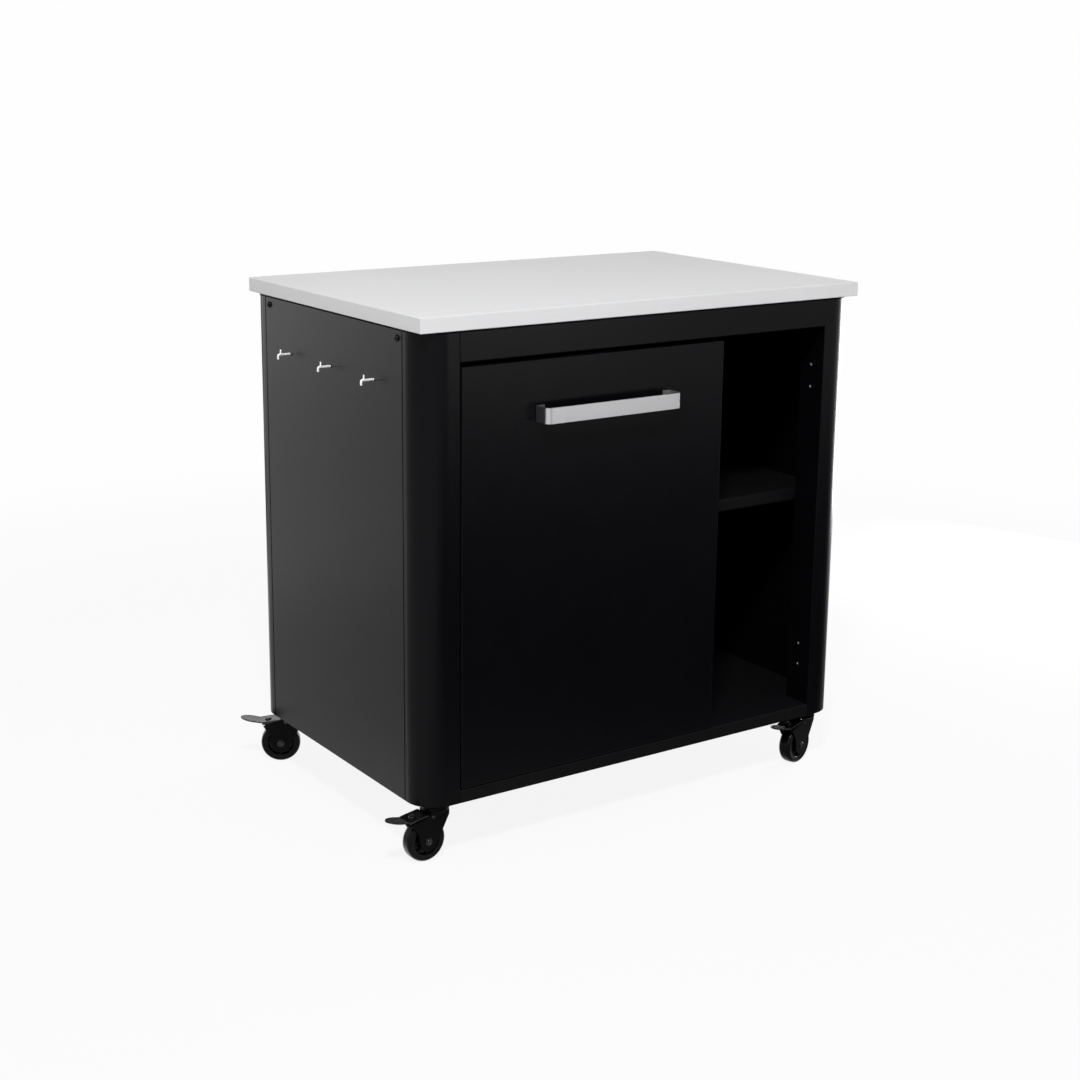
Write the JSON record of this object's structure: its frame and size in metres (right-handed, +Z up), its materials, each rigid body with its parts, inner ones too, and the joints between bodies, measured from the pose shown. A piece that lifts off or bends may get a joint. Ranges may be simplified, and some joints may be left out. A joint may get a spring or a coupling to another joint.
{
  "type": "grill cart",
  "caption": "Outdoor grill cart: steel worktop on a black folded-sheet cabinet with rounded corners, pull-out front with bar handle, open shelf bay, tool pegs and braked swivel casters",
  "frame": {"origin": "on the floor at the middle of the footprint of the whole object with its handle, pegs and brake pedals, pull-out shut", "axes": "+X to the right as one faces the pull-out, +Y to the back, +Z up"},
  "size_m": [0.948, 0.6358, 0.899],
  "materials": {
    "worktop_paint": "light grey satin powder coat",
    "black_paint": "black satin powder coat",
    "brushed_handle": "brushed stainless steel",
    "peg_chrome": "polished",
    "zinc_steel": "zinc plated",
    "caster_paint": "black satin coat",
    "wheel_plastic": "moulded black wheel",
    "brake_plastic": "moulded black plastic"
  },
  "bodies": {
    "cabinet": {"worktop": "worktop_paint", "worktop_channels": "zinc_steel", "foot_plates": "black_paint", "side_panel_left": "black_paint", "side_panel_right": "black_paint", "back_panel": "black_paint", "front_rail": "black_paint", "floor_panel": "black_paint", "divider_panel": "black_paint", "shelf": "black_paint", "shelf_brackets": "zinc_steel", "tool_pegs": "peg_chrome", "slide_brackets": "zinc_steel", "slide_outer_left": "zinc_steel", "slide_outer_right": "zinc_steel", "caster_stems": "caster_paint", "column_front_left": "black_paint", "column_front_right": "black_paint", "column_rear_left": "black_paint", "column_rear_right": "black_paint"},
    "pull_out": {"pull_out_front": "black_paint", "pull_out_liner": "black_paint", "handle": "brushed_handle", "pull_out_tray": "black_paint", "tray_gussets": "black_paint", "slide_inner_left": "zinc_steel", "slide_inner_right": "zinc_steel"},
    "slide_middle_left": {"slide_middle_left": "zinc_steel"},
    "slide_middle_right": {"slide_middle_right": "zinc_steel"},
    "caster_fork_front_left": {"caster_fork_front_left": "caster_paint"},
    "caster_wheel_front_left": {"caster_wheel_front_left": "wheel_plastic"},
    "caster_brake_front_left": {"caster_brake_front_left": "brake_plastic"},
    "caster_fork_front_right": {"caster_fork_front_right": "caster_paint"},
    "caster_wheel_front_right": {"caster_wheel_front_right": "wheel_plastic"},
    "caster_brake_front_right": {"caster_brake_front_right": "brake_plastic"},
    "caster_fork_rear_left": {"caster_fork_rear_left": "caster_paint"},
    "caster_wheel_rear_left": {"caster_wheel_rear_left": "wheel_plastic"},
    "caster_brake_rear_left": {"caster_brake_rear_left": "brake_plastic"},
    "caster_fork_rear_right": {"caster_fork_rear_right": "caster_paint"},
    "caster_wheel_rear_right": {"caster_wheel_rear_right": "wheel_plastic"},
    "caster_brake_rear_right": {"caster_brake_rear_right": "brake_plastic"}
  },
  "joints": [
    {"name": "pull_out_slide", "type": "slide", "parent": "cabinet", "child": "pull_out", "axis": [0, -1, 0], "range_m": [0, 0.46]},
    {"name": "slide_middle_left_travel", "type": "slide", "parent": "cabinet", "child": "slide_middle_left", "axis": [0, -1, 0], "range_m": [0, 0.23]},
    {"name": "slide_middle_right_travel", "type": "slide", "parent": "cabinet", "child": "slide_middle_right", "axis": [0, -1, 0], "range_m": [0, 0.23]},
    {"name": "swivel_front_left", "type": "hinge", "parent": "cabinet", "child": "caster_fork_front_left", "pos_m": [-0.3775, -0.24541, 0.0952], "axis": [0, 0, 1], "continuous": true},
    {"name": "wheel_spin_front_left", "type": "hinge", "parent": "caster_fork_front_left", "child": "caster_wheel_front_left", "pos_m": [-0.40087, -0.24663, 0.036], "axis": [0.0523, -0.9986, 0], "continuous": true},
    {"name": "brake_press_front_left", "type": "hinge", "parent": "caster_fork_front_left", "child": "caster_brake_front_left", "pos_m": [-0.39148, -0.24614, 0.0776], "axis": [0.0523, -0.9986, 0], "range_deg": [0, 7]},
    {"name": "swivel_front_right", "type": "hinge", "parent": "cabinet", "child": "caster_fork_front_right", "pos_m": [0.4255, -0.24541, 0.0952], "axis": [0, 0, 1], "continuous": true},
    {"name": "wheel_spin_front_right", "type": "hinge", "parent": "caster_fork_front_right", "child": "caster_wheel_front_right", "pos_m": [0.40289, -0.25146, 0.036], "axis": [0.2588, -0.9659, 0], "continuous": true},
    {"name": "brake_press_front_right", "type": "hinge", "parent": "caster_fork_front_right", "child": "caster_brake_front_right", "pos_m": [0.41197, -0.24903, 0.0776], "axis": [0.2588, -0.9659, 0], "range_deg": [0, 7]},
    {"name": "swivel_rear_left", "type": "hinge", "parent": "cabinet", "child": "caster_fork_rear_left", "pos_m": [-0.3775, 0.26409, 0.0952], "axis": [0, 0, 1], "continuous": true},
    {"name": "wheel_spin_rear_left", "type": "hinge", "parent": "caster_fork_rear_left", "child": "caster_wheel_rear_left", "pos_m": [-0.39797, 0.27544, 0.036], "axis": [-0.4848, -0.8746, 0], "continuous": true},
    {"name": "brake_press_rear_left", "type": "hinge", "parent": "caster_fork_rear_left", "child": "caster_brake_rear_left", "pos_m": [-0.38975, 0.27088, 0.0776], "axis": [-0.4848, -0.8746, 0], "range_deg": [0, 7]},
    {"name": "swivel_rear_right", "type": "hinge", "parent": "cabinet", "child": "caster_fork_rear_right", "pos_m": [0.4255, 0.26409, 0.0952], "axis": [0, 0, 1], "continuous": true},
    {"name": "wheel_spin_rear_right", "type": "hinge", "parent": "caster_fork_rear_right", "child": "caster_wheel_rear_right", "pos_m": [0.40289, 0.27015, 0.036], "axis": [-0.2588, -0.9659, 0], "continuous": true},
    {"name": "brake_press_rear_right", "type": "hinge", "parent": "caster_fork_rear_right", "child": "caster_brake_rear_right", "pos_m": [0.41197, 0.26772, 0.0776], "axis": [-0.2588, -0.9659, 0], "range_deg": [0, 7]}
  ],
  "couplings": [
    {"joint": "slide_middle_left_travel", "follows": "pull_out_slide", "ratio": 0.5},
    {"joint": "slide_middle_right_travel", "follows": "pull_out_slide", "ratio": 0.5}
  ]
}
